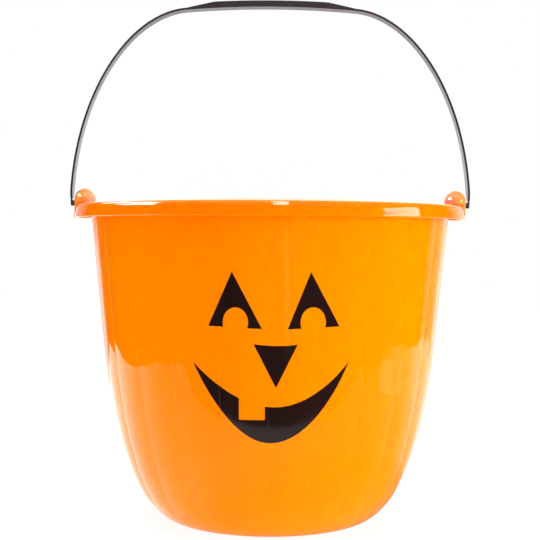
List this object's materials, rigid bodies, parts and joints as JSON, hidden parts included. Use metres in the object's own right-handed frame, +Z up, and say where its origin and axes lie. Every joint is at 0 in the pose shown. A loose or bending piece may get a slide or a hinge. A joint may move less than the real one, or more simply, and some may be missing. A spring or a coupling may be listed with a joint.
{
  "type": "halloween bucket",
  "caption": "Round ribbed plastic trick-or-treat pail with a turned-down rim, hollow ears, a folding strap bail and a printed jack-o'-lantern face.",
  "frame": {"origin": "middle of the foot ring, on the surface that the pail stands on", "axes": "+Z up along the pail's axis, -Y to the front, where the face is, and X along the bail's pivot line"},
  "size_m": [0.2224, 0.2156, 0.2875],
  "materials": {
    "orange_plastic": "glossy, slightly translucent moulded polypropylene",
    "black_plastic": "satin-gloss moulded polypropylene",
    "black_ink": "smooth printed ink film"
  },
  "bodies": {
    "pail": {"pail_shell": "orange_plastic", "left_eye_print": "black_ink", "right_eye_print": "black_ink", "nose_print": "black_ink", "mouth_print": "black_ink"},
    "bail": {"bail_handle": "black_plastic"}
  },
  "joints": [
    {"name": "bail_pivot", "type": "hinge", "parent": "pail", "child": "bail", "pos_m": [0, 0, 0.1748], "axis": [1, 0, 0], "range_deg": [-117, 117]}
  ]
}
